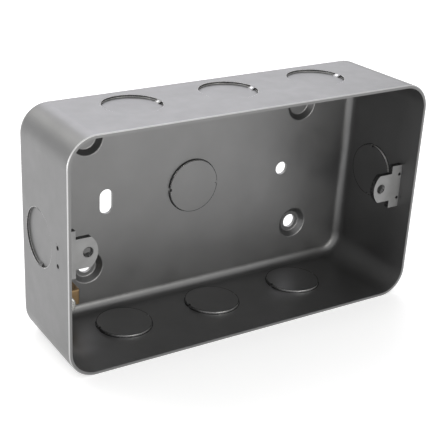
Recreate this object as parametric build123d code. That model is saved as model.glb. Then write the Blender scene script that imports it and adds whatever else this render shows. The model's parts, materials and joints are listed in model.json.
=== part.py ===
from build123d import *
import os

os.makedirs("parts", exist_ok=True)

# Surface mount back box for two wiring accessories side by side: a drawn steel tray, open at the front,
# with half-sheared cable knockouts, two tapped lugs for the accessory plate and an earth terminal.
# Frame: X to the right as seen from the open front, Y from the front towards the wall, Z up.
# The origin is at the middle of the footprint, on the plane that the box stands on.
# All sizes are in millimetres.

# Accessory fixings, which also set the box's width
fixing_pitch = 120.6
lug_reach = 9.0          # from the wall's inner face in to the fixing hole
thread_bore = 2.9        # tapped M3.5: the bore before the thread

# Drawn sheet
height = 83.5
depth = 40.0             # front rim to the back's rear face
sheet = 1.2
corner_radius = 10.0     # outside, seen from the front
back_radius = 4.5        # outside, between the back and the side walls
rim_edge_radius = 0.4    # outer edge of the front rim

# Cable knockouts, half-sheared inwards and held by two ties each
knockout_diameter = 20.7
knockout_disc_clearance = 0.3  # the pushed disc's edge stands this far inside the hole's
knockout_pitch = 37.0
knockout_push = 0.9
top_knockout_from_back = 17.8
bottom_knockout_from_back = 16.0
side_knockout_from_back = 17.2
side_knockout_lift = 0.7  # above the middle
bottom_knockout_offset = -0.9
back_knockout_offset = -2.2
tie_width = 2.6
tie_length = 1.5
tie_nick_width = 1.0     # nick in the disc's inner edge at each tie
tie_nick_depth = 0.7

# Holes in the back
back_pattern_lift = 1.1  # the back's holes, feet and knockout sit this far above the middle
wall_hole_pitch = 75.7   # from the slot on the left to the round hole on the right
wall_slot_width = 5.1
wall_slot_height = 9.4
wall_hole_diameter = 5.1

# Stand-off feet, drawn out of the back towards the wall
foot_height = 2.0
foot_rim_diameter = 12.0
foot_floor_diameter = 8.6
foot_pitch_x = 90.5
foot_pitch_z = 49.0
foot_hole_diameter = 5.5 # the two lower feet are pierced
foot_edge_radius = 0.6

# Lugs
lug_thickness = 2.0
lug_from_rim = 6.8       # front rim to the lug's front face
lug_head_height = 16.7
lug_head_width = 4.6     # from the wall in to the step of the T
lug_tab_height = 10.6
lug_tip_margin = 3.5     # from the fixing hole's centre to the tip
lug_tip_radius = 7.0
lug_tenon_height = 8.8
lug_tenon_clearance = 0.05
lug_relief_radius = 0.6  # round relief in the shoulder at each end of the tenon
lug_relief_setback = 0.9 # from the wall's inner face in to the relief's centre
stake_radius = 0.8
stake_depth = 0.5
stake_from_tenon_end = 1.2

# Earth terminal
earth_from_side = 11.8   # outside of the left wall to the block's centre
earth_from_bottom = 11.5
earth_block_width = 14.0
earth_block_height = 6.2
earth_block_depth = 7.0
earth_edge = 0.4
earth_cable_bore = 3.6
earth_bore_from_seat = 2.9
earth_spigot_diameter = 4.0
earth_rivet_diameter = 6.4
earth_rivet_height = 0.8
earth_fit_clearance = 0.05
earth_screw_diameter = 3.0
earth_head_diameter = 7.0
earth_head_height = 2.0
earth_head_gap = 2.8     # the screw is backed out this far from the block
earth_drive_width = 0.9
earth_drive_depth = 1.1
earth_drive_turn = 35.0  # degrees, as the screw was left

# Worked out from the sizes above
width = fixing_pitch + 2 * (lug_reach + sheet)
inner_half_width = width / 2 - sheet
middle_z = height / 2
pattern_z = middle_z + back_pattern_lift
rim_y = -(depth + foot_height) / 2
back_y = rim_y + depth
seat_y = back_y - sheet
lug_face_y = rim_y + lug_from_rim

# Cutters: how far they run past what they cut, how long one is that goes through the sheet or a foot,
# and how closely a radius has to match
overshoot = 1.0
through = 4 * (sheet + foot_height)
tolerance = 0.01


def back_plane(x, z, y=seat_y):
    """Plane facing the open front, on the back's inner face unless y says otherwise."""
    return Plane(origin=(x, y, z), x_dir=(1, 0, 0), z_dir=(0, -1, 0))


def tray_block(wall, length):
    """Solid block with a rounded rear edge, set in by one wall all round from the box's outside."""
    outline = RectangleRounded(width - 2 * wall, height - 2 * wall, corner_radius - wall)
    block = extrude(back_plane(0, middle_z, back_y - wall) * outline, length)
    rear_edges = block.faces().sort_by(Axis.Y)[-1].edges()
    return fillet(rear_edges, back_radius - wall)


def drawn_tray():
    outer = tray_block(0, depth)
    rim_edges = outer.faces().sort_by(Axis.Y)[0].edges()
    return fillet(rim_edges, rim_edge_radius) - tray_block(sheet, depth)


def knockout_disc():
    """The disc where it stands out of the inner face, from Z = 0 inwards, nicked at its two ties."""
    radius = knockout_diameter / 2 - knockout_disc_clearance
    disc = Cylinder(radius, knockout_push, align=(Align.CENTER, Align.CENTER, Align.MIN))
    nick = Pos(radius - tie_nick_depth, 0) * Box(
        tie_nick_depth + overshoot,
        tie_nick_width,
        knockout_push + overshoot,
        align=(Align.MIN, Align.CENTER, Align.MIN),
    )
    return disc - nick - nick.rotate(Axis.Z, 180)


def knockout_recess():
    """What the push takes from the outer face, from Z = 0 inwards, with a slope left at each tie."""
    radius = knockout_diameter / 2
    recess = Cylinder(radius, knockout_push, align=(Align.CENTER, Align.CENTER, Align.MIN))
    slope = Plane.XZ * make_face(
        Polyline(
            (radius + overshoot, 0),
            (radius, 0),
            (radius - tie_length, knockout_push),
            (radius + overshoot, knockout_push),
            close=True,
        )
    )
    tie = extrude(slope, tie_width / 2, both=True)
    return recess - tie - tie.rotate(Axis.Z, 180)


def knockout_places():
    """Planes on the sheet's inner face, each with its normal pointing into the box."""
    places = [back_plane(back_knockout_offset, pattern_z)]
    for step in (-1, 0, 1):
        top = (step * knockout_pitch, back_y - top_knockout_from_back, height - sheet)
        places.append(Plane(origin=top, x_dir=(1, 0, 0), z_dir=(0, 0, -1)))
        x = step * knockout_pitch + bottom_knockout_offset
        bottom = (x, back_y - bottom_knockout_from_back, sheet)
        places.append(Plane(origin=bottom, x_dir=(1, 0, 0), z_dir=(0, 0, 1)))
    for side in (-1, 1):
        wall_z = middle_z + side_knockout_lift
        wall = (side * inner_half_width, back_y - side_knockout_from_back, wall_z)
        places.append(Plane(origin=wall, x_dir=(0, 0, 1), z_dir=(-side, 0, 0)))
    return places


def press_knockouts(tray):
    disc = knockout_disc()
    recess = knockout_recess()
    for place in knockout_places():
        tray += place * disc
        tray -= place * Pos(0, 0, -sheet) * recess
    return tray


def foot_cup():
    """What a foot takes from the inner face, from Z = 0 down: a cone with rounded floor."""
    cone = Cone(
        foot_floor_diameter / 2,
        foot_rim_diameter / 2,
        foot_height,
        align=(Align.CENTER, Align.CENTER, Align.MAX),
    )
    floor_edge = cone.edges().sort_by(Axis.Z)[0]
    return fillet(floor_edge, foot_edge_radius)


def press_feet(tray):
    cup = foot_cup()
    hole = Cylinder(foot_hole_diameter / 2, through)
    for side in (-1, 1):
        for level in (-1, 1):
            place = back_plane(side * foot_pitch_x / 2, pattern_z + level * foot_pitch_z / 2)
            tray += place * Pos(0, 0, -sheet) * cup
            tray -= place * cup
            if level < 0:
                tray -= place * hole
    return fillet(foot_rims(tray), foot_edge_radius)


def foot_rims(tray):
    """The circles where the four feet leave the back's inner face."""
    on_seat = tray.edges().filter_by(GeomType.CIRCLE).filter_by_position(Axis.Y, seat_y, seat_y)
    return on_seat.filter_by(lambda edge: abs(edge.radius - foot_rim_diameter / 2) < tolerance)


def pierce_back(tray):
    """Slot on the left and round hole on the right, for the screws into the wall."""
    slot = SlotOverall(wall_slot_height, wall_slot_width, rotation=90)
    tray -= extrude(back_plane(-wall_hole_pitch / 2, pattern_z) * slot, through / 2, both=True)
    tray -= back_plane(wall_hole_pitch / 2, pattern_z) * Cylinder(wall_hole_diameter / 2, through)
    tray -= earth_place() * Cylinder(earth_spigot_diameter / 2 + earth_fit_clearance, through)
    return tray


def pierce_sides(tray):
    """Slot in each side wall for the tenon of its lug."""
    slot = Box(
        through,
        lug_thickness + 2 * lug_tenon_clearance,
        lug_tenon_height + 2 * lug_tenon_clearance,
    )
    for side in (-1, 1):
        tray -= Pos(side * inner_half_width, lug_face_y + lug_thickness / 2, middle_z) * slot
    return tray


def back_box():
    return pierce_sides(pierce_back(press_feet(press_knockouts(drawn_tray()))))


def lug_outline():
    """Right-hand lug in the plane of its plate: the wall is at larger X, the middle of the box at 0."""
    head_x = inner_half_width - lug_head_width
    hole_x = fixing_pitch / 2
    tip_x = hole_x - lug_tip_margin
    half_tab = lug_tab_height / 2
    bulge = lug_tip_radius - (lug_tip_radius ** 2 - half_tab ** 2) ** 0.5
    half_head = lug_head_height / 2
    outline = Polyline(
        (tip_x + bulge, half_tab),
        (head_x, half_tab),
        (head_x, half_head),
        (inner_half_width, half_head),
        (inner_half_width, -half_head),
        (head_x, -half_head),
        (head_x, -half_tab),
        (tip_x + bulge, -half_tab),
    )
    tip = ThreePointArc((tip_x + bulge, -half_tab), (tip_x, 0), (tip_x + bulge, half_tab))
    plate = make_face(outline + tip)
    tenon_x = inner_half_width + sheet / 2
    plate += Pos(tenon_x, 0) * Rectangle(sheet, lug_tenon_height)
    relief_x = inner_half_width - lug_relief_setback
    relief_z = (lug_tenon_height + lug_relief_radius) / 2
    for level in (-1, 1):
        plate -= Pos(relief_x, level * relief_z) * Circle(lug_relief_radius)
    return plate - Pos(hole_x, 0) * Circle(thread_bore / 2)


def lug_right():
    front = back_plane(0, middle_z, lug_face_y)
    lug = extrude(front * lug_outline(), -lug_thickness)
    mark = Cone(stake_radius, 0, stake_depth, align=(Align.CENTER, Align.CENTER, Align.MIN))
    for level in (-1, 1):
        mark_z = middle_z + level * (lug_tenon_height / 2 - stake_from_tenon_end)
        origin = (width / 2, lug_face_y + lug_thickness / 2, mark_z)
        lug -= Plane(origin=origin, x_dir=(0, 0, 1), z_dir=(-1, 0, 0)) * mark
    return lug


def earth_place():
    """Plane on the back's inner face at the earth terminal, facing the open front."""
    return back_plane(earth_from_side - width / 2, earth_from_bottom)


def earth_terminal_block():
    block = Box(
        earth_block_width,
        earth_block_height,
        earth_block_depth,
        align=(Align.CENTER, Align.CENTER, Align.MIN),
    )
    block = chamfer(block.faces().sort_by(Axis.Z)[-1].edges(), earth_edge)
    block -= Pos(0, 0, earth_bore_from_seat) * Rot(0, 90, 0) * Cylinder(
        earth_cable_bore / 2, 2 * earth_block_width
    )
    block -= Pos(0, 0, earth_bore_from_seat) * Cylinder(
        earth_screw_diameter / 2 + earth_fit_clearance,
        earth_block_depth,
        align=(Align.CENTER, Align.CENTER, Align.MIN),
    )
    block += Cylinder(
        earth_spigot_diameter / 2, sheet, align=(Align.CENTER, Align.CENTER, Align.MAX)
    )
    rivet = Cylinder(
        earth_rivet_diameter / 2, earth_rivet_height, align=(Align.CENTER, Align.CENTER, Align.MAX)
    )
    rivet = chamfer(rivet.edges().sort_by(Axis.Z)[0], earth_rivet_height / 2)
    return earth_place() * (block + Pos(0, 0, -sheet) * rivet)


def earth_terminal_screw():
    head_seat = earth_block_depth + earth_head_gap
    shank_end = earth_bore_from_seat + earth_cable_bore / 2
    shank = Pos(0, 0, shank_end) * Cylinder(
        earth_screw_diameter / 2, head_seat - shank_end, align=(Align.CENTER, Align.CENTER, Align.MIN)
    )
    head = Cylinder(
        earth_head_diameter / 2, earth_head_height, align=(Align.CENTER, Align.CENTER, Align.MIN)
    )
    head = fillet(head.edges().sort_by(Axis.Z)[-1], earth_edge)
    drive = Pos(0, 0, earth_head_height) * Box(
        earth_drive_width,
        2 * earth_head_diameter,
        earth_drive_depth,
        align=(Align.CENTER, Align.CENTER, Align.MAX),
    )
    turned = Rot(0, 0, earth_drive_turn) * (head - drive)
    return earth_place() * (shank + Pos(0, 0, head_seat) * turned)


right_lug = lug_right()
pieces = {
    "back_box": back_box(),
    "lug_right": right_lug,
    "lug_left": mirror(right_lug, about=Plane.YZ),
    "earth_terminal_block": earth_terminal_block(),
    "earth_terminal_screw": earth_terminal_screw(),
}

for name, piece in pieces.items():
    export_step(piece, f"parts/{name}.step")
    size = piece.bounding_box().size
    print(f"{name}: {piece.volume:.1f} mm3, {size.X:.1f} x {size.Y:.1f} x {size.Z:.1f} mm")
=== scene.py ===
# %% [markdown]
# A two-gang metal-clad back box, dressed for the camera
#
# The object is a shallow steel box, open at the front, drawn from one sheet and finished in a satin
# grey coating. Round cable knockouts are half-sheared in its walls, two tapped lugs carry the
# accessory plate, and a small brass terminal takes the earth wire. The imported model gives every
# piece its size and place. This file loads that model as a frame, reads boxes and mounts from it,
# and adds finish and fine detail on top. Only what the frame doesn't hold, such as how far a
# knockout is pushed in, is written here again.

# %% Load the frame
import json
from math import atan2, cos, degrees, hypot, pi, radians, sin

import bmesh
import bpy
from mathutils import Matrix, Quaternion, Vector


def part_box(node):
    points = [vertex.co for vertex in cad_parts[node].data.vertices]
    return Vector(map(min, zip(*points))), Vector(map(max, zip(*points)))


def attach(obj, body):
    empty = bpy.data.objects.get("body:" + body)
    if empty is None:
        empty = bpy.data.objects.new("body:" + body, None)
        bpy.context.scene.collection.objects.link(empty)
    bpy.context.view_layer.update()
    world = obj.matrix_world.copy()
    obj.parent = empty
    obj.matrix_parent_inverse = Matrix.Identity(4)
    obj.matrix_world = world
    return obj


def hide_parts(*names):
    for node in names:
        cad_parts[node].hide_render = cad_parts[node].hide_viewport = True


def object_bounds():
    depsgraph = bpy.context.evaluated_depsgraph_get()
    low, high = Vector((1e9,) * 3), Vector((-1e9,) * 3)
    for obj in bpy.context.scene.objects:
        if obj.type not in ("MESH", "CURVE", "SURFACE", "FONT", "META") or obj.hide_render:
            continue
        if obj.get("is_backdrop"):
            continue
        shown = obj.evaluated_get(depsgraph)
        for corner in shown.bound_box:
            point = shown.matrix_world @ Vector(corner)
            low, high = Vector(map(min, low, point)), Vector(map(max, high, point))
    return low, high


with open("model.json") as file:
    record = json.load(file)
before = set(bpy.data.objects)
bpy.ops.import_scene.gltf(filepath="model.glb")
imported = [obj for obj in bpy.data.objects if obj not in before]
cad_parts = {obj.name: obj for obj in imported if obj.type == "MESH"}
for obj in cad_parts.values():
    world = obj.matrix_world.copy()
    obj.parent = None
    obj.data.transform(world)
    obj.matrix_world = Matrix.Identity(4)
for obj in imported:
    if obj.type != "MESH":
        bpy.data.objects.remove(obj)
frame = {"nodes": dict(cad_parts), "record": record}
cad_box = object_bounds()
MM = 0.001
for node in sorted(frame["nodes"]):
    low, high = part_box(node)
    print(node, [round(v / MM, 1) for v in low], "to", [round(v / MM, 1) for v in high], "mm")
mounts = {mount["name"]: mount for mount in frame["record"]["mounts"]}
print(len(mounts), "mounts:", ", ".join(sorted(mounts)))

# %% [markdown]
# The camera
#
# A photograph can be matched by eye, but a camera can also be solved: with the box's edges and holes
# known in millimetres, only one place, one aim and one lens put them all where the picture has them.
# The values below are that solution. It puts the lens's axis left of the picture's middle, as happens
# when a wider photograph is cropped, so the camera is shifted by the same share of its width. A roll
# of one degree is left, because the photographer's horizon wasn't quite level.

# %% Camera
camera_place = Vector((-183.9, -271.8, 180.8)) * MM
camera_aim = Vector((-35.2, 0.0, 43.8)) * MM
camera_roll = radians(1.03)

camera_data = bpy.data.cameras.new("Camera")
camera_data.lens = 80.8
camera_data.sensor_width = 36.0
camera_data.shift_x = 0.192
camera_data.shift_y = -0.013
camera_data.clip_start = 10 * MM
camera = bpy.data.objects.new("Camera", camera_data)
bpy.context.scene.collection.objects.link(camera)
camera.location = camera_place
camera.rotation_mode = "QUATERNION"
level_aim = (camera_aim - camera_place).to_track_quat("-Z", "Y")
camera.rotation_quaternion = level_aim @ Quaternion((0, 0, 1), camera_roll)
bpy.context.scene.camera = camera
print("camera", round((camera_aim - camera_place).length / MM), "mm from its aim")

# %% [markdown]
# The lamps
#
# The photograph was lit by large soft sources above and behind the box, and by smaller ones low on
# the left and low in front. The front got the least light, which is why the inside looks so much
# darker than the top. Square area lamps do the same here. In a satin coat a lamp shows as a soft
# patch, so the size and place of each one were found by matching the patches: the two large lamps
# leave a dark stripe on the rounded corner between the top and the left wall, as the picture does.

# %% Lights
def soft_lamp(name, place, side, watts, colour=(1.0, 1.0, 1.0)):
    """Square area lamp that looks at the middle of the box; place and side are in metres."""
    data = bpy.data.lights.new(name, "AREA")
    data.shape = "SQUARE"
    data.size = side
    data.energy = watts
    data.color = colour
    lamp = bpy.data.objects.new(name, data)
    lamp.location = place
    middle = Vector((0.0, 0.0, 0.04))
    lamp.rotation_euler = (middle - Vector(place)).to_track_quat("-Z", "Y").to_euler()
    bpy.context.scene.collection.objects.link(lamp)
    print(name, "is", side, "m wide and gives", watts, "W")


cool_white = (0.94, 0.93, 1.0)
warm_white = (1.0, 0.99, 0.95)
soft_lamp("Lamp_top_back", (0.25, 0.5, 0.6), 0.6, 2.7, cool_white)
soft_lamp("Lamp_top_left", (-0.35, 0.6, 0.7), 0.6, 2.0, warm_white)
soft_lamp("Lamp_left_low", (-0.9, 0.0, 0.1), 0.18, 4.0)
soft_lamp("Lamp_front_low", (0.1, -0.9, 0.15), 0.28, 2.4, warm_white)

# %% [markdown]
# Helpers for node trees
#
# Shader trees and Geometry Nodes trees are built with the same few steps: add a node, set its own
# options, then give each input either a value or a link. One helper does that for both kinds of
# tree, and another one opens a group with named inputs and outputs.

# %% Node helpers
def list_helpers(*helpers):
    """Prints the names of the functions that a cell made."""
    print("helpers:", ", ".join(helper.__name__ for helper in helpers))


def add(tree, kind, values=None, **options):
    """Adds one node. Options are its own settings; values are numbers or sockets for its inputs."""
    made = tree.nodes.new(kind)
    for name, value in options.items():
        setattr(made, name, value)
    for name, value in (values or {}).items():
        if isinstance(value, bpy.types.NodeSocket):
            tree.links.new(value, made.inputs[name])
        else:
            made.inputs[name].default_value = value
    return made


def calculate(tree, operation, *numbers):
    """Socket with the result of one Math node."""
    made = add(tree, "ShaderNodeMath", dict(enumerate(numbers)), operation=operation)
    return made.outputs[0]


def calculate_vector(tree, operation, first, second):
    """Socket with the vector that one Vector Math node works out."""
    made = add(tree, "ShaderNodeVectorMath", {0: first, 1: second}, operation=operation)
    return made.outputs[0]


NUMBER, VECTOR, MESH = "NodeSocketFloat", "NodeSocketVector", "NodeSocketGeometry"
MATERIAL = "NodeSocketMaterial"


def open_group(kind, name, inputs, outputs):
    """New node group; inputs give a name, a socket type and a default, outputs only the first two."""
    tree = bpy.data.node_groups.new(name, kind)
    for title, socket_type, default in inputs:
        socket = tree.interface.new_socket(title, in_out="INPUT", socket_type=socket_type)
        if default is not None:
            socket.default_value = default
    for title, socket_type in outputs:
        tree.interface.new_socket(title, in_out="OUTPUT", socket_type=socket_type)
    start = tree.nodes.new("NodeGroupInput")
    end = tree.nodes.new("NodeGroupOutput")
    return tree, start.outputs, end.inputs


list_helpers(add, calculate, calculate_vector, open_group)

# %% [markdown]
# World and floor
#
# A white background could come from very strong light, but that would bleach the object too. The
# Light Path node tells where a ray comes from, so the world is white where the camera and the
# reflections look straight at it, and dimmer for everything that it lights. The floor does the same
# with emission: a part of its brightness shows only to the camera and in reflections, so that it is
# nearly white and still holds the box's shadow.

# %% World
def seen_directly(tree):
    """Socket that is 1 for rays from the camera, in reflections and through glass, and 0 for the rest."""
    path = tree.nodes.new("ShaderNodeLightPath").outputs
    seen = path["Is Camera Ray"]
    for ray in ("Is Glossy Ray", "Is Transmission Ray"):
        seen = calculate(tree, "MAXIMUM", seen, path[ray])
    return seen


def lift(tree, unseen, seen, socket):
    """Drives a strength socket: one value where it is seen directly, another where it only gives light."""
    levels = {"Value": seen_directly(tree), "To Min": unseen, "To Max": seen}
    tree.links.new(add(tree, "ShaderNodeMapRange", levels).outputs["Result"], socket)


world_light = 0.66
world = bpy.data.worlds.new("World")
world.use_nodes = True
sky = world.node_tree.nodes["Background"]
sky.inputs["Color"].default_value = (1.0, 1.0, 1.0, 1.0)
lift(world.node_tree, world_light, 1.0, sky.inputs["Strength"])
bpy.context.scene.world = world
bpy.context.scene.view_settings.view_transform = "Standard"
print("the world lights the box at", world_light, "and is seen at 1.0")

# %% Floor
floor_glow = 0.48
half_floor = 3.0
floor_mesh = bpy.data.meshes.new("Floor")
corners = [(x * half_floor, y * half_floor, 0.0) for x, y in ((-1, -1), (1, -1), (1, 1), (-1, 1))]
floor_mesh.from_pydata(corners, [], [(0, 1, 2, 3)])
floor = bpy.data.objects.new("Floor", floor_mesh)
bpy.context.scene.collection.objects.link(floor)
pale = bpy.data.materials.new("Pale_floor")
pale.use_nodes = True
pale_shader = pale.node_tree.nodes["Principled BSDF"]
pale_shader.inputs["Base Color"].default_value = (0.8, 0.8, 0.8, 1.0)
pale_shader.inputs["Roughness"].default_value = 0.95
pale_shader.inputs["Emission Color"].default_value = (1.0, 1.0, 1.0, 1.0)
lift(pale.node_tree, 0.0, floor_glow, pale_shader.inputs["Emission Strength"])
floor_mesh.materials.append(pale)
floor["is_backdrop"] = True
print("floor", 2 * half_floor, "m wide, in", pale.name)

# %% [markdown]
# Three effects that the finishes share
#
# None of these metals is one flat colour. The coating has a fine grain, the plated lugs show the
# direction in which their strip was rolled, and all of them carry slow changes of tone that only show
# when light grazes them. An image texture would do this for one picture, but its grain would stretch
# on curved walls. Noise on Object coordinates is solid: it runs through the metal, so it has the
# same scale on every face. Each effect is a group, so one change reaches every material.

# %% Fine grain
def fine_grain_group():
    """Small even bumps, 0 to 1 in height, whose size is given in metres."""
    inputs = [("Vector", VECTOR, None), ("Size", NUMBER, 0.3 * MM)]
    tree, given, result = open_group("ShaderNodeTree", "Fine_grain", inputs, [("Height", NUMBER)])
    per_metre = calculate(tree, "DIVIDE", 1.0, given["Size"])
    noise = {"Vector": given["Vector"], "Scale": per_metre, "Detail": 3.0, "Roughness": 0.6}
    grain = add(tree, "ShaderNodeTexNoise", noise)
    tree.links.new(grain.outputs["Fac"], result["Height"])
    return tree


fine_grain = fine_grain_group()
print("group", fine_grain.name, "with", len(fine_grain.nodes), "nodes")


# %% Slow changes of tone
def cloudy_tone_group():
    """Soft patches of a size in metres, as a factor from Low to High."""
    inputs = [
        ("Vector", VECTOR, None),
        ("Size", NUMBER, 10 * MM),
        ("Low", NUMBER, 0.95),
        ("High", NUMBER, 1.05),
    ]
    tree, given, result = open_group("ShaderNodeTree", "Cloudy_tone", inputs, [("Factor", NUMBER)])
    per_metre = calculate(tree, "DIVIDE", 1.0, given["Size"])
    noise = {"Vector": given["Vector"], "Scale": per_metre, "Detail": 2.0}
    patches = add(tree, "ShaderNodeTexNoise", noise)
    seldom_below, seldom_above = 0.3, 0.7
    spread = {
        "Value": patches.outputs["Fac"],
        "From Min": seldom_below,
        "From Max": seldom_above,
        "To Min": given["Low"],
        "To Max": given["High"],
    }
    tone = add(tree, "ShaderNodeMapRange", spread)
    tree.links.new(tone.outputs["Result"], result["Factor"])
    return tree


cloudy_tone = cloudy_tone_group()
print("group", cloudy_tone.name, "with", len(cloudy_tone.nodes), "nodes")


# %% Rolling lines
def rolling_lines_group():
    """Fine streaks, 0 to 1 in height; the axis whose Stretch is smallest is the one they run along."""
    inputs = [
        ("Vector", VECTOR, None),
        ("Width", NUMBER, 0.1 * MM),
        ("Stretch", VECTOR, (1.0, 1.0, 0.05)),
    ]
    tree, given, result = open_group("ShaderNodeTree", "Rolling_lines", inputs, [("Height", NUMBER)])
    drawn_out = calculate_vector(tree, "MULTIPLY", given["Vector"], given["Stretch"])
    per_metre = calculate(tree, "DIVIDE", 1.0, given["Width"])
    noise = {"Vector": drawn_out, "Scale": per_metre, "Detail": 2.0, "Roughness": 0.7}
    streaks = add(tree, "ShaderNodeTexNoise", noise)
    tree.links.new(streaks.outputs["Fac"], result["Height"])
    return tree


rolling_lines = rolling_lines_group()
print("group", rolling_lines.name, "with", len(rolling_lines.nodes), "nodes")

# %% [markdown]
# How a finish is put together
#
# A material starts from the Principled shader. What is the same all over, such as how metallic the
# surface is, is set on the shader's own socket. What changes over the surface comes from the groups:
# tone multiplies the colour, tone also moves the roughness a little, and grain drives a Bump node.
# The bump distance is a real height in metres, a hundredth of a millimetre or less, because that is
# how deep such a grain is.

# %% Material helpers
def start_material(name, metallic):
    """Material with Object coordinates at hand: gives the material, its tree, shader and coordinates."""
    material = bpy.data.materials.new(name)
    material.use_nodes = True
    tree = material.node_tree
    shader = tree.nodes["Principled BSDF"]
    shader.inputs["Metallic"].default_value = metallic
    place = tree.nodes.new("ShaderNodeTexCoord").outputs["Object"]
    return material, tree, shader, place


def use_group(tree, group, values):
    """Places a shader group in a material's tree and gives its first output."""
    return add(tree, "ShaderNodeGroup", values, node_tree=group).outputs[0]


def tinted(tree, colour, factor):
    """Colour multiplied by a factor that changes over the surface."""
    made = add(tree, "ShaderNodeVectorMath", {0: colour, "Scale": factor}, operation="SCALE")
    return made.outputs[0]


def blended(tree, mask, first, second):
    """Colour from first, a socket, to second, a constant; a Mix node enables only its type's sockets."""
    made = add(tree, "ShaderNodeMix", data_type="RGBA")
    factor, start, end = [socket for socket in made.inputs if socket.enabled]
    tree.links.new(mask, factor)
    tree.links.new(first, start)
    end.default_value = (*second, 1.0)
    return [socket for socket in made.outputs if socket.enabled][0]


def bumped(tree, shader, height, distance):
    """Drives the shader's normal with a height of 0 to 1 that stands for so many metres."""
    bump = add(tree, "ShaderNodeBump", {"Height": height, "Distance": distance, "Strength": 1.0})
    tree.links.new(bump.outputs["Normal"], shader.inputs["Normal"])


list_helpers(start_material, use_group, tinted, blended, bumped)

# %% [markdown]
# The grey coating
#
# The sheet carries a thin satin coat, and the front rim's outer edge is painted paler: partly as coat worn
# off where boxes rub against each other, partly as a painted highlight along the rounded edge. A Bevel
# node could find edges by itself, but it would find every edge of the box. This mask is worked out from
# the box's own form instead: it adds how far a point lies under the outside of the rounded walls to how
# far it lies behind the rim, and where the sum is small enough, the point is on the rim's outer edge.

# %% Worn edge and painted highlight of the rim
def rim_edge_mask(tree, place, corner_radius, wear_and_highlight_width):
    """1 on the outer edge of the front rim, 0 everywhere else; both sizes are in metres."""
    low, high = (Vector(corner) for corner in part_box("back_box"))
    middle, half = (low + high) / 2, (high - low) / 2
    past_all_depths = 1.0
    straight = (half.x - corner_radius, past_all_depths, half.z - corner_radius)
    moved = calculate_vector(tree, "SUBTRACT", place, middle)
    mirrored = add(tree, "ShaderNodeVectorMath", {0: moved}, operation="ABSOLUTE").outputs[0]
    past = calculate_vector(tree, "SUBTRACT", mirrored, straight)
    round_corner = calculate_vector(tree, "MAXIMUM", past, (0, 0, 0))
    length = add(tree, "ShaderNodeVectorMath", {0: round_corner}, operation="LENGTH")
    under_outside = calculate(tree, "SUBTRACT", corner_radius, length.outputs["Value"])
    depth = add(tree, "ShaderNodeSeparateXYZ", {"Vector": place}).outputs["Y"]
    behind_rim = calculate(tree, "SUBTRACT", depth, low.y)
    both = calculate(tree, "ADD", under_outside, behind_rim)
    full_wear_and_highlight = 0.75 * wear_and_highlight_width
    fade = {"Value": both, "From Min": wear_and_highlight_width, "From Max": full_wear_and_highlight}
    return add(tree, "ShaderNodeMapRange", fade).outputs["Result"]


# %% Grey coating
def grey_coating(colour, wear_and_highlight_colour):
    """Satin grey coat on the drawn sheet, paler along the rim's outer edge as worn coat and painted
    highlight.
    """
    material, tree, shader, place = start_material("Grey_coating", 0.9)
    tone = use_group(tree, cloudy_tone, {"Vector": place, "Size": 14 * MM, "Low": 0.96, "High": 1.04})
    wear_and_highlight = rim_edge_mask(tree, place, corner_radius=10 * MM, wear_and_highlight_width=0.4 * MM)
    # The rim's outer edge is painted paler: partly worn coat, partly a painted highlight.
    base = blended(tree, wear_and_highlight, tinted(tree, colour, tone), wear_and_highlight_colour)
    tree.links.new(base, shader.inputs["Base Color"])
    patchy = {"Vector": place, "Size": 5 * MM, "Low": 0.40, "High": 0.45}
    tree.links.new(use_group(tree, cloudy_tone, patchy), shader.inputs["Roughness"])
    grain = use_group(tree, fine_grain, {"Vector": place, "Size": 0.35 * MM})
    bumped(tree, shader, grain, 0.004 * MM)
    return material


# The second colour is the pale rim edge: worn coat and painted highlight.
coating = grey_coating((0.18, 0.18, 0.18), (0.45, 0.45, 0.45))
print("made", coating.name)

# %% [markdown]
# Sheared steel
#
# Where the press cut the sheet, the steel is bare. A cut edge has four kinds of surface, and the picture
# shows all of them: a bright band that the tool burnished, the duller slope of a tie that was drawn down
# and not cut, the dark torn part below, and the crack where two faces nearly meet. Their colours also
# carry painted light: the pale burnished steel serves as a painted highlight, the torn steel is darkened
# by painted shade, and the crack is a near-black painted shade. They differ only in colour, gloss and
# mottle, so one function makes the four.

# %% Four kinds of sheared steel
def sheared_steel(name, metallic, colour, roughness, mottle):
    """Cut edge of the sheet: uneven in colour by the share called mottle, and streaky in its gloss."""
    material, tree, shader, place = start_material(name, metallic)
    specks = {"Vector": place, "Size": 0.5 * MM, "Low": 1.0 - mottle, "High": 1.0 + mottle}
    tone = use_group(tree, cloudy_tone, specks)
    tree.links.new(tinted(tree, colour, tone), shader.inputs["Base Color"])
    swing = 0.08
    uneven = {"Vector": place, "Size": 0.8 * MM, "Low": roughness - swing, "High": roughness + swing}
    tree.links.new(use_group(tree, cloudy_tone, uneven), shader.inputs["Roughness"])
    grain = use_group(tree, fine_grain, {"Vector": place, "Size": 0.15 * MM})
    bumped(tree, shader, grain, 0.01 * MM)
    return material


# Painted light in these colours: the pale burnished steel is a painted highlight, the dark torn steel
# carries painted shade.
burnished_and_highlight = sheared_steel("Burnished_shear_and_painted_highlight", 0.3, (0.6, 0.6, 0.59), 0.32, 0.2)
drawn = sheared_steel("Drawn_tie", 1.0, (0.45, 0.45, 0.45), 0.4, 0.3)
torn_and_shaded = sheared_steel("Torn_shear_and_painted_shade", 1.0, (0.10, 0.10, 0.10), 0.45, 0.7)
# Near-black steel for the narrow gaps: painted shade.
gap_shade = sheared_steel("Shear_gap_painted_shade", 1.0, (0.015, 0.015, 0.015), 0.7, 0.3)
print("made", ", ".join(material.name for material in (burnished_and_highlight, drawn, torn_and_shaded, gap_shade)))

# %% [markdown]
# Plated steel and brass
#
# The lugs are stamped from rolled strip with a dull plating, the terminal block is drawn brass bar
# and the screw is bright plated steel. All three keep the fine lines of the rolls, the die or the
# lathe. The lines are noise that is stretched along one axis, so the same function makes each metal
# with its own direction.

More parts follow.
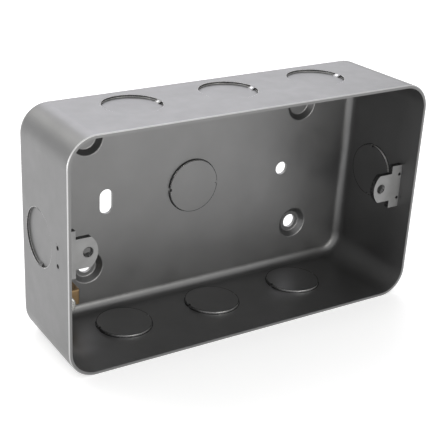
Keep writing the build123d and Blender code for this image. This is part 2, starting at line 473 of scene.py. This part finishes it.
# %% Metals with rolling lines
def rolled_metal(name, metallic, colour, roughness, stretch, line_depth):
    """Plain metal with rolling or turning lines; stretch is the vector that draws those lines out."""
    material, tree, shader, place = start_material(name, metallic)
    tone = use_group(tree, cloudy_tone, {"Vector": place, "Size": 4 * MM, "Low": 0.92, "High": 1.08})
    tree.links.new(tinted(tree, colour, tone), shader.inputs["Base Color"])
    swing = 0.05
    uneven = {"Vector": place, "Size": 2 * MM, "Low": roughness - swing, "High": roughness + swing}
    tree.links.new(use_group(tree, cloudy_tone, uneven), shader.inputs["Roughness"])
    lines = use_group(tree, rolling_lines, {"Vector": place, "Width": 0.12 * MM, "Stretch": stretch})
    bumped(tree, shader, lines, line_depth)
    return material


plated = rolled_metal("Plated_lug", 0.4, (0.25, 0.25, 0.25), 0.45, (1.0, 1.0, 0.06), 0.004 * MM)
brass = rolled_metal("Brass", 0.9, (0.31, 0.21, 0.11), 0.42, (0.08, 1.0, 1.0), 0.005 * MM)
bright = rolled_metal("Plated_screw", 0.8, (0.85, 0.85, 0.82), 0.26, (1.0, 0.2, 1.0), 0.003 * MM)
print("all materials:", ", ".join(sorted(material.name for material in bpy.data.materials)))

# %% [markdown]
# The drawn box
#
# The box itself is one piece of sheet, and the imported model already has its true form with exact
# normals on every rounded corner. Remaking it would only make it worse, so it stays as it is and
# gets the coating in its material slot.

# %% Dress the box
box_mesh = frame["nodes"]["back_box"].data
box_mesh.materials.clear()
box_mesh.materials.append(coating)
print("back_box", len(box_mesh.polygons), "faces, now in", coating.name)

# %% [markdown]
# Where the knockouts are
#
# A knockout is a disc that the press pushed most of the way through the sheet, so that it stands
# proud inside and leaves a recess outside. Two short ties still hold it, and there the metal slopes
# instead of being cut. The same bare edges are needed nine times in three directions, so Geometry
# Nodes trees make them once and place them on nine points. Each point carries two directions:
# outward, which is the mount's axis in the record, and sideways, the direction of its ties. The points of
# the side walls are also kept apart, because their edges take the light differently and get a painted
# highlight and painted shade of their own.

# %% Sizes of a knockout
knockouts = [mounts[name] for name in sorted(mounts) if name.startswith("knockout_")]
hole_radius = knockouts[0]["dims"]["r_mm"] * MM
sheet = knockouts[0]["dims"]["length_mm"] * MM
knockout_push = 0.9 * MM
disc_clearance = 0.3 * MM
disc_radius = hole_radius - disc_clearance
tie_width = 2.6 * MM
tie_length = 1.5 * MM
nick_width = 1.0 * MM
print(len(knockouts), "knockouts of radius", round(hole_radius / MM, 2), "mm")


# %% Points for the knockouts
def marked_points(name, places, outward, sideways):
    """Mesh of loose points that carry the two directions of whatever is placed on them."""
    mesh = bpy.data.meshes.new(name)
    mesh.from_pydata(places, [], [])
    for title, directions in (("outward", outward), ("sideways", sideways)):
        layer = mesh.attributes.new(title, "FLOAT_VECTOR", "POINT")
        for item, direction in zip(layer.data, directions):
            item.vector = direction
    return mesh


def in_side_wall(knockout):
    """True where the knockout's axis runs along X."""
    return abs(knockout["axis"][0]) > 0.5


def knockout_points(name, chosen):
    """Points of the chosen knockouts; the ties stand one above the other in the side walls."""
    places = [Vector(knockout["pos_m"]) for knockout in chosen]
    outward = [Vector(knockout["axis"]) for knockout in chosen]
    sideways = [Vector((0, 0, 1)) if in_side_wall(knockout) else Vector((1, 0, 0)) for knockout in chosen]
    return marked_points(name, places, outward, sideways)


all_points = knockout_points("All_knockouts", knockouts)
side_points = knockout_points("Side_knockouts", [one for one in knockouts if in_side_wall(one)])
other_points = knockout_points("Other_knockouts", [one for one in knockouts if not in_side_wall(one)])
print(len(side_points.vertices), "in the side walls,", len(other_points.vertices), "in the others")

# %% [markdown]
# From a tree to a plain mesh
#
# A Geometry Nodes modifier makes its shape anew each time the object is evaluated, and its copies
# are instances that an export would drop. So every tree here ends in Realize Instances and Set
# Material, and the result is read once, kept as a plain mesh, and the modifier is taken off. An
# input is set by its socket's identifier, because the modifier doesn't know it by name.

# %% Running a tree and keeping its mesh
def placed(tree, geometry, instance):
    """Instances on the points of some geometry, turned by the two directions that they carry."""
    directions = []
    for title in ("outward", "sideways"):
        read = add(tree, "GeometryNodeInputNamedAttribute", {"Name": title}, data_type="FLOAT_VECTOR")
        directions.append(read.outputs["Attribute"])
    axes = {"Primary Axis": directions[0], "Secondary Axis": directions[1]}
    turn = add(tree, "FunctionNodeAxesToRotation", axes, primary_axis="Z", secondary_axis="X").outputs[0]
    points = add(tree, "GeometryNodeMeshToPoints", {"Mesh": geometry}).outputs["Points"]
    spread = {"Points": points, "Instance": instance, "Rotation": turn}
    return add(tree, "GeometryNodeInstanceOnPoints", spread).outputs["Instances"]


def finish_tree(tree, instances, material, result):
    """Ends a tree: real geometry, in its material."""
    real = add(tree, "GeometryNodeRealizeInstances", {"Geometry": instances})
    dressed = add(tree, "GeometryNodeSetMaterial", {"Geometry": real.outputs[0], "Material": material})
    tree.links.new(dressed.outputs[0], result["Geometry"])


def grow(name, tree, points, values, slot):
    """Runs a tree on marked points and keeps the result as a plain mesh that rides with the box."""
    piece = bpy.data.objects.new(name, points)
    bpy.context.scene.collection.objects.link(piece)
    modifier = piece.modifiers.new("Nodes", "NODES")
    modifier.node_group = tree
    for item in tree.interface.items_tree:
        if item.in_out == "INPUT" and item.name in values:
            modifier[item.identifier] = values[item.name]
    depsgraph = bpy.context.evaluated_depsgraph_get()
    mesh = bpy.data.meshes.new_from_object(piece.evaluated_get(depsgraph))
    piece.modifiers.remove(modifier)
    piece.data = mesh
    mesh.name = name
    sharper_than = radians(40)
    mesh.set_sharp_from_angle(angle=sharper_than)
    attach(piece, "root")
    print(name, len(mesh.polygons), "faces")


list_helpers(placed, finish_tree, grow)

# %% [markdown]
# Sheared rings of the knockouts
#
# A coating that is put on before the press leaves every cut bare. Painting the bands with a mask on
# the sheet would need far finer faces there, so each is a thin ring with rounded corners that
# stands a few hundredths of a millimetre proud. One tree sweeps a rectangle along an arc, leaves a
# gap at each tie, and turns a copy by half a turn. Its radius, height, thickness and place along the
# knockout's axis are inputs, so the same tree makes all six kinds of ring.

# %% A ring with two gaps
def shear_ring_tree():
    """Band of sheared steel round a knockout, in two arcs that leave a gap at each tie."""
    inputs = [
        ("Geometry", MESH, None),
        ("Radius", NUMBER, 10 * MM),
        ("Height", NUMBER, 0.8 * MM),
        ("Thickness", NUMBER, 0.05 * MM),
        ("Middle", NUMBER, 0.0),
        ("Gap", NUMBER, 0.1),
        ("Material", MATERIAL, None),
    ]
    tree, given, result = open_group("GeometryNodeTree", "Shear_ring", inputs, [("Geometry", MESH)])
    half_gap = calculate(tree, "MULTIPLY", given["Gap"], 0.5)
    sweep = calculate(tree, "SUBTRACT", pi, given["Gap"])
    arc_values = {
        "Resolution": 49,
        "Radius": given["Radius"],
        "Start Angle": half_gap,
        "Sweep Angle": sweep,
    }
    arc = add(tree, "GeometryNodeCurveArc", arc_values, mode="RADIUS").outputs["Curve"]
    upright = add(tree, "GeometryNodeSetCurveNormal", {"Curve": arc}, mode="Z_UP").outputs["Curve"]
    section_values = {"Width": given["Thickness"], "Height": given["Height"]}
    section = add(tree, "GeometryNodeCurvePrimitiveQuadrilateral", section_values).outputs["Curve"]
    thinner = calculate(tree, "MINIMUM", given["Thickness"], given["Height"])
    nearly_half = 0.45
    corner = calculate(tree, "MULTIPLY", thinner, nearly_half)
    soft_values = {"Curve": section, "Radius": corner, "Count": 2}
    soft = add(tree, "GeometryNodeFilletCurve", soft_values, mode="POLY").outputs["Curve"]
    band_values = {"Curve": upright, "Profile Curve": soft, "Fill Caps": True}
    band = add(tree, "GeometryNodeCurveToMesh", band_values).outputs["Mesh"]
    shift = add(tree, "ShaderNodeCombineXYZ", {"Z": given["Middle"]}).outputs[0]
    half = add(tree, "GeometryNodeTransform", {"Geometry": band, "Translation": shift}).outputs[0]
    half_turn = {"Geometry": half, "Rotation": (0.0, 0.0, pi)}
    other = add(tree, "GeometryNodeTransform", half_turn).outputs[0]
    ring = add(tree, "GeometryNodeJoinGeometry")
    for part in (half, other):
        tree.links.new(part, ring.inputs[0])
    finish_tree(tree, placed(tree, given["Geometry"], ring.outputs[0]), given["Material"], result)
    return tree


shear_ring = shear_ring_tree()
print("tree", shear_ring.name, "with", len(shear_ring.nodes), "nodes")

# %% [markdown]
# Edges of the discs
#
# The edge of a pushed disc is the part of the cut that shows inside the box. In the bottom it mirrors the
# dark inside and looks dull, while in the side walls it catches the light. A mirror-like metal does the
# first, and in the side walls the pale burnished steel paints that light as a highlight, so the same ring
# is grown twice, on two sets of points.

# %% Disc edges
band_thickness = 0.06 * MM
disc_edge_margin = 0.07 * MM
nick_gap = nick_width / disc_radius
disc_edge = {
    "Radius": disc_radius,
    "Height": knockout_push - 2 * disc_edge_margin,
    "Thickness": band_thickness,
    "Middle": -sheet - knockout_push / 2,
    "Gap": nick_gap,
    "Material": drawn,
}
# Side-wall disc edges get the pale burnished steel as a painted highlight.
side_disc_highlight = {**disc_edge, "Material": burnished_and_highlight}
grow("disc_edges", shear_ring, other_points, disc_edge, "grey_sheet")
grow("side_disc_highlights", shear_ring, side_points, side_disc_highlight, "grey_sheet")

# %% [markdown]
# The recess outside
#
# Seen from outside, each knockout is a shallow step with a wall of 0.9 mm. The light catches it at its top
# edge and again at its foot, and the wall between them is torn and in shade. So it gets three rings: a
# flat bright lip round the hole as a painted highlight, a tall torn band below it that is darkened as
# painted shade, and a narrow bright foot where the wall meets the sunk disc, another painted highlight.

# %% Painted shade on the recess walls, painted highlights on their feet and lips
tie_gap = tie_width / hole_radius
torn_and_shaded_height = 0.52 * MM
foot_band_height = 0.16 * MM
recess_margin = 0.05 * MM
lip_width = 0.12 * MM
# Torn band on the recess wall, darkened by painted shade.
torn_and_shaded_wall = {
    "Radius": hole_radius,
    "Height": torn_and_shaded_height,
    "Thickness": band_thickness,
    "Middle": -torn_and_shaded_height / 2 - recess_margin,
    "Gap": tie_gap,
    "Material": torn_and_shaded,
}
# Bright band of painted highlight at the foot of the wall.
foot_highlight = {
    **torn_and_shaded_wall,
    "Height": foot_band_height,
    "Middle": -knockout_push + foot_band_height / 2 + recess_margin,
    "Material": burnished_and_highlight,
}
# Bright flat ring of painted highlight round the hole's edge.
lip_highlight = {
    **torn_and_shaded_wall,
    "Radius": hole_radius - lip_width / 2,
    "Height": band_thickness,
    "Thickness": lip_width,
    "Middle": -band_thickness,
    "Material": burnished_and_highlight,
}
grow("recess_wall_shades", shear_ring, all_points, torn_and_shaded_wall, "grey_sheet")
grow("recess_foot_highlights", shear_ring, all_points, foot_highlight, "grey_sheet")
grow("recess_lip_highlights", shear_ring, all_points, lip_highlight, "grey_sheet")

# %% [markdown]
# The dark lines inside
#
# Inside the box, a thin crack runs round the foot of each disc, and the edge of the disc's face is broken;
# shade falls into both. Cutting real gaps would mean remaking the sheet, so two flat dark rings paint that
# shade: one on the wall, round the disc's foot, and one on the disc's face, along its edge.

# %% Painted shade in the cracks and along the disc rims
line_height = 0.04 * MM
line_rise = 0.01 * MM
rim_shade_width = 0.16 * MM
# Near-black ring of painted shade over the crack round each disc's foot.
gap_shade_ring = {
    "Radius": (hole_radius + disc_radius) / 2,
    "Height": line_height,
    "Thickness": disc_clearance - line_height,
    "Middle": -sheet - line_rise,
    "Gap": nick_gap,
    "Material": gap_shade,
}
# Dark ring of painted shade along the edge of each disc's face.
disc_rim_shade = {
    **gap_shade_ring,
    "Radius": disc_radius - rim_shade_width / 2,
    "Thickness": rim_shade_width,
    "Middle": -sheet - knockout_push,
}
grow("shear_gap_shades", shear_ring, all_points, gap_shade_ring, "grey_sheet")
grow("disc_rim_shades", shear_ring, all_points, disc_rim_shade, "grey_sheet")

# %% [markdown]
# Slopes at the ties
#
# A tie slopes from the wall's face down to the sunk disc. The sheet already has that slope, and a thin
# plate on it carries the bare metal. In the top, the bottom and the back the ties catch the light as small
# bright marks. In the side walls they look dark and nearly as wide as the tie itself, so there a wider
# plate of dark torn steel paints that shade over the slope. The same tree makes both, with other sizes and
# another material.

# %% Tie tree
def tie_slope_tree():
    """Thin plate on the slope of each tie, at both ends of a knockout."""
    inputs = [
        ("Geometry", MESH, None),
        ("Length", NUMBER, 1.6 * MM),
        ("Width", NUMBER, 2.4 * MM),
        ("Thickness", NUMBER, 0.06 * MM),
        ("Distance", NUMBER, 9.6 * MM),
        ("Depth", NUMBER, 0.45 * MM),
        ("Slope", NUMBER, 0.5),
        ("Material", MATERIAL, None),
    ]
    tree, given, result = open_group("GeometryNodeTree", "Tie_slope", inputs, [("Geometry", MESH)])
    sides = {0: given["Length"], 1: given["Width"], 2: given["Thickness"]}
    size = add(tree, "ShaderNodeCombineXYZ", sides).outputs[0]
    plate = add(tree, "GeometryNodeMeshCube", {"Size": size}).outputs["Mesh"]
    lean = calculate(tree, "MULTIPLY", given["Slope"], -1.0)
    turn = add(tree, "ShaderNodeCombineXYZ", {1: lean}).outputs[0]
    below = calculate(tree, "MULTIPLY", given["Depth"], -1.0)
    place = add(tree, "ShaderNodeCombineXYZ", {0: given["Distance"], 2: below}).outputs[0]
    leaning = {"Geometry": plate, "Translation": place, "Rotation": turn}
    one = add(tree, "GeometryNodeTransform", leaning).outputs[0]
    half_turn = {"Geometry": one, "Rotation": (0.0, 0.0, pi)}
    other = add(tree, "GeometryNodeTransform", half_turn).outputs[0]
    pair = add(tree, "GeometryNodeJoinGeometry")
    for part in (one, other):
        tree.links.new(part, pair.inputs[0])
    finish_tree(tree, placed(tree, given["Geometry"], pair.outputs[0]), given["Material"], result)
    return tree


tie_slope = tie_slope_tree()
print("tree", tie_slope.name, "with", len(tie_slope.nodes), "nodes")

# %% Bare ties, and painted shade on the side ties
slope_length = hypot(tie_length, knockout_push)
bare_share = 0.5
shade_share = 0.85
bare_tie = {
    "Length": bare_share * slope_length,
    "Width": bare_share * tie_width,
    "Thickness": band_thickness,
    "Distance": hole_radius - tie_length / 2,
    "Depth": knockout_push / 2,
    "Slope": atan2(knockout_push, tie_length),
    "Material": drawn,
}
# Side-wall ties: a dark torn plate as painted shade over the slope.
tie_shade = {
    **bare_tie,
    "Length": shade_share * slope_length,
    "Width": shade_share * tie_width,
    "Material": torn_and_shaded,
}
grow("bare_ties", tie_slope, other_points, bare_tie, "grey_sheet")
grow("side_tie_shades", tie_slope, side_points, tie_shade, "grey_sheet")
print("the ties slope at", round(degrees(bare_tie["Slope"])), "degrees")

# %% [markdown]
# Broken edges on the small parts
#
# Small pressed and turned parts leave the works with their edges tumbled, and that tiny round is
# what catches the light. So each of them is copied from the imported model, its loose triangles are
# merged, and a Bevel modifier breaks the edges. A Weighted Normal modifier then keeps the flat faces
# flat. What has to be cut first, such as a hole's mouth, is cut by a Boolean in the same stack.

# %% Turned shapes
def kept_mesh(bm, name):
    """New object with the mesh that bm holds; bm is freed."""
    mesh = bpy.data.meshes.new(name)
    bm.to_mesh(mesh)
    bm.free()
    made = bpy.data.objects.new(name, mesh)
    bpy.context.scene.collection.objects.link(made)
    return made


def lathe(name, profile, axis_place, direction):
    """Closed solid of revolution; profile is a list of radius and height from axis_place."""
    steps = 48
    bm = bmesh.new()
    turn = Vector(direction).to_track_quat("Z", "Y")
    rings = []
    for radius, height in profile:
        ring = []
        for step in range(steps):
            angle = 2 * pi * step / steps
            local = Vector((radius * cos(angle), radius * sin(angle), height))
            ring.append(bm.verts.new(turn @ local + Vector(axis_place)))
        rings.append(ring)
    for lower, upper in zip(rings, rings[1:]):
        for a in range(steps):
            b = (a + 1) % steps
            bm.faces.new((lower[a], lower[b], upper[b], upper[a]))
    bm.faces.new(list(reversed(rings[0])))
    bm.faces.new(rings[-1])
    bmesh.ops.recalc_face_normals(bm, faces=bm.faces)
    return kept_mesh(bm, name)


# %% Copies with broken edges
def merged_copy(node, name):
    """Copy of a CAD piece with its loose triangles joined and its flat faces made whole."""
    bm = bmesh.new()
    bm.from_mesh(frame["nodes"][node].data)
    bmesh.ops.remove_doubles(bm, verts=bm.verts, dist=0.001 * MM)
    bmesh.ops.dissolve_limit(bm, angle_limit=radians(0.5), verts=bm.verts, edges=bm.edges)
    made = kept_mesh(bm, name)
    if "custom_normal" in made.data.attributes:
        made.data.attributes.remove(made.data.attributes["custom_normal"])
    return made


def tumbled(piece, edge, material, cutters=()):
    """Cuts a piece, breaks its edges by so much, and leaves a plain mesh in its material."""
    for cutter in cutters:
        cut = piece.modifiers.new("Cut", "BOOLEAN")
        cut.operation = "DIFFERENCE"
        cut.solver = "EXACT"
        cut.object = cutter
    bevel = piece.modifiers.new("Tumbled", "BEVEL")
    bevel.width = edge
    bevel.segments = 2
    bevel.limit_method = "ANGLE"
    bevel.angle_limit = radians(35)
    piece.modifiers.new("Flat_faces", "WEIGHTED_NORMAL")
    for polygon in piece.data.polygons:
        polygon.use_smooth = True
    depsgraph = bpy.context.evaluated_depsgraph_get()
    mesh = bpy.data.meshes.new_from_object(piece.evaluated_get(depsgraph))
    piece.modifiers.clear()
    piece.data = mesh
    mesh.materials.clear()
    mesh.materials.append(material)
    for cutter in cutters:
        bpy.data.objects.remove(cutter)
    print(piece.name, len(mesh.polygons), "faces")
    return piece


list_helpers(kept_mesh, lathe, merged_copy, tumbled)

# %% [markdown]
# Lugs
#
# A lug is a stamped T with a tapped hole, and its tenon is staked in a slot of the wall. The tap opens the
# hole to the thread's outer size and leaves a countersunk mouth on both faces, so a drill with two cones
# cuts the copy. The flat faces keep their plating, the stamped sides and the hole's walls are in the
# darkened torn steel, and the tenon's end took the wall's coating, with near-black painted shade in the
# dents where it was staked. Which face is which follows from where it lies and which way it looks.

# %% Sizes of a lug's hole
lug_hole_radius = 1.75 * MM
mouth_radius = 1.95 * MM
mouth_depth = mouth_radius - lug_hole_radius
pattern = mounts["accessory_lugs"]
half_pitch = pattern["dims"]["spacing_x_mm"] * MM / 2
hole_places = [Vector(pattern["pos_m"]) + Vector((side * half_pitch, 0, 0)) for side in (-1, 1)]
lug_low, lug_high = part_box("lug_right")
lug_thickness = lug_high[1] - lug_low[1]
print("lugs", round(lug_thickness / MM, 2), "mm thick, holes", round(2 * half_pitch / MM, 1), "mm apart")


# %% Faces of a lug
def mark_faces(lug, hole_place, hole_reach, tenon_end_from):
    """Gives each face of a lug the finish of its kind; the first slot is already plated."""
    TORN_DARK, COATED, STAKE_SHADE = 1, 2, 3
    just_past_hole = lug_hole_radius + 0.05 * MM
    straight_out = 0.97
    sideways = 0.3
    for material in (torn_and_shaded, coating, gap_shade):
        lug.data.materials.append(material)
    for polygon in lug.data.polygons:
        off_axis = hypot(polygon.center.x - hole_place.x, polygon.center.z - hole_place.z)
        # Tenon ends: flat faces in coating, the stake dents and sides in near-black painted shade.
        if abs(polygon.center.x) > tenon_end_from:
            flat = abs(polygon.normal.x) > straight_out
            polygon.material_index = COATED if flat else STAKE_SHADE
        # Hole walls and stamped sides: the darkened torn steel.
        elif off_axis < just_past_hole:
            polygon.material_index = TORN_DARK
        elif abs(polygon.normal.y) < sideways and off_axis > hole_reach:
            polygon.material_index = TORN_DARK


# %% Lugs
beyond = 0.5 * MM
tenon_end = 0.5 * MM
lug_edge = 0.12 * MM
drill_profile = [
    (mouth_radius + beyond, -beyond),
    (mouth_radius, 0.0),
    (lug_hole_radius, mouth_depth),
    (lug_hole_radius, lug_thickness - mouth_depth),
    (mouth_radius, lug_thickness),
    (mouth_radius + beyond, lug_thickness + beyond),
]
for node, place in zip(("lug_left", "lug_right"), hole_places):
    drill = lathe("Drill", drill_profile, place, (0, 1, 0))
    lug = tumbled(merged_copy(node, node + "_plated"), lug_edge, plated, [drill])
    mark_faces(lug, place, mouth_radius + beyond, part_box("back_box")[1][0] - tenon_end)
    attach(lug, "root")
    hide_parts(node)

# %% [markdown]
# Threads
#
# A thread is a ridge that climbs round an axis, so Geometry Nodes sweeps a small four-sided section
# along a spiral, with one half of it sunk in the metal. The same tree serves the tapped holes, where
# the ridge stands inwards from the wall, and the terminal's screw, where it stands outwards from the
# core.

# %% Thread tree
def thread_tree():
    """Ridge that climbs along each point's outward direction, from Start on."""
    inputs = [
        ("Geometry", MESH, None),
        ("Radius", NUMBER, 1.75 * MM),
        ("Pitch", NUMBER, 0.6 * MM),
        ("Turns", NUMBER, 2.0),
        ("Ridge", NUMBER, 0.28 * MM),
        ("Start", NUMBER, 0.0),
        ("Material", MATERIAL, None),
    ]
    tree, given, result = open_group("GeometryNodeTree", "Thread", inputs, [("Geometry", MESH)])
    climb = calculate(tree, "MULTIPLY", given["Pitch"], given["Turns"])
    spiral_values = {
        "Resolution": 32,
        "Rotations": given["Turns"],
        "Start Radius": given["Radius"],
        "End Radius": given["Radius"],
        "Height": climb,
    }
    spiral = add(tree, "GeometryNodeCurveSpiral", spiral_values).outputs["Curve"]
    upright = add(tree, "GeometryNodeSetCurveNormal", {"Curve": spiral}, mode="Z_UP").outputs["Curve"]
    section_values = {"Resolution": 4, "Radius": given["Ridge"]}
    section = add(tree, "GeometryNodeCurvePrimitiveCircle", section_values).outputs["Curve"]
    ridge_values = {"Curve": upright, "Profile Curve": section, "Fill Caps": True}
    ridge = add(tree, "GeometryNodeCurveToMesh", ridge_values).outputs["Mesh"]
    shift = add(tree, "ShaderNodeCombineXYZ", {"Z": given["Start"]}).outputs[0]
    moved = add(tree, "GeometryNodeTransform", {"Geometry": ridge, "Translation": shift}).outputs[0]
    finish_tree(tree, placed(tree, given["Geometry"], moved), given["Material"], result)
    return tree


thread = thread_tree()
print("tree", thread.name, "with", len(thread.nodes), "nodes")

# %% Threads in the lugs
lug_pitch = 0.6 * MM
lug_ridge = 0.27 * MM
into_lug = [Vector((0, 1, 0)) for place in hole_places]
across = [Vector((1, 0, 0)) for place in hole_places]
hole_points = marked_points("Hole_points", hole_places, into_lug, across)
lug_thread = {
    "Radius": lug_hole_radius,
    "Pitch": lug_pitch,
    "Turns": (lug_thickness - 2 * lug_ridge) / lug_pitch,
    "Ridge": lug_ridge,
    "Start": lug_ridge,
    # The thread in the hole is dark torn steel, darkened by painted shade.
    "Material": torn_and_shaded,
}
grow("lug_threads", thread, hole_points, lug_thread, "plated_lug")

# %% [markdown]
# Earth terminal
#
# The terminal is a brass block, riveted to the back, with a hole for the wire and one clamping
# screw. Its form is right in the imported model, so a copy only needs its edges broken.

# %% Block
block_edge = 0.15 * MM
block = tumbled(merged_copy("earth_terminal_block", "earth_block"), block_edge, brass)
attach(block, "root")
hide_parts("earth_terminal_block")

# %% [markdown]
# Terminal screw
#
# The screw is turned afresh, because its shank needs a core with a real thread round it. A profile
# of radius and height is spun round the axis, from the blunt point to the domed head, and a thin
# block cuts the slot for the screwdriver. The slot stands at an angle, as it is left when the screw
# is run in.

# %% Profile of the screw
screw_low, screw_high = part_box("earth_terminal_screw")
screw_middle = [(a + b) / 2 for a, b in zip(screw_low, screw_high)]
screw_point = Vector((screw_middle[0], screw_high[1], screw_middle[2]))
head_radius = (screw_high[0] - screw_low[0]) / 2
screw_length = screw_high[1] - screw_low[1]
head_height = 2.0 * MM
shank_length = screw_length - head_height
thread_radius = 1.5 * MM
screw_pitch = 0.5 * MM
screw_ridge = 0.25 * MM
core_radius = thread_radius - screw_ridge
tip_share = 0.7
tip_length = 0.3 * MM
head_chamfer = 0.15 * MM
head_round = 0.8 * MM
round_steps = 4
profile = [
    (core_radius * tip_share, 0.0),
    (core_radius, tip_length),
    (core_radius, shank_length),
    (head_radius - head_chamfer, shank_length),
    (head_radius, shank_length + head_chamfer),
]
for step in range(round_steps + 1):
    angle = step / round_steps * pi / 2
    across_head = head_radius - head_round * (1 - cos(angle))
    profile.append((across_head, screw_length - head_round * (1 - sin(angle))))
print("screw", round(screw_length / MM, 1), "mm long, head", round(2 * head_radius / MM, 1), "mm across")

# %% Screw
drive_width = 0.9 * MM
drive_depth = 1.1 * MM
drive_turn = radians(-35)
screw_edge = 0.05 * MM
bm = bmesh.new()
bmesh.ops.create_cube(bm, size=1.0)
bmesh.ops.scale(bm, vec=(drive_width, 2 * drive_depth, 3 * head_radius), verts=bm.verts)
bmesh.ops.rotate(bm, matrix=Quaternion((0, 1, 0), drive_turn).to_matrix(), verts=bm.verts)
bmesh.ops.translate(bm, vec=screw_point - Vector((0, screw_length, 0)), verts=bm.verts)
drive_cutter = kept_mesh(bm, "Drive_cutter")
screw = lathe("earth_screw", profile, screw_point, (0, -1, 0))
tumbled(screw, screw_edge, bright, [drive_cutter])
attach(screw, "root")
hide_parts("earth_terminal_screw")

# %% Thread of the screw
screw_points = marked_points("Screw_point", [screw_point], [Vector((0, -1, 0))], [Vector((1, 0, 0))])
screw_thread = {
    "Radius": core_radius,
    "Pitch": screw_pitch,
    "Turns": (shank_length - 2 * screw_ridge) / screw_pitch,
    "Ridge": screw_ridge,
    "Start": screw_ridge,
    "Material": bright,
}
grow("screw_thread", thread, screw_points, screw_thread, "plated_screw")

# %% [markdown]
# Sizes
#
# The dressed object has to stay inside the imported model's box, so both boxes are printed side by side.

# %% Sizes of both boxes
visual_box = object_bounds()
for name, (low, high) in (("CAD", cad_box), ("dressed", visual_box)):
    print(name, "box", [round((b - a) / MM, 2) for a, b in zip(low, high)], "mm")
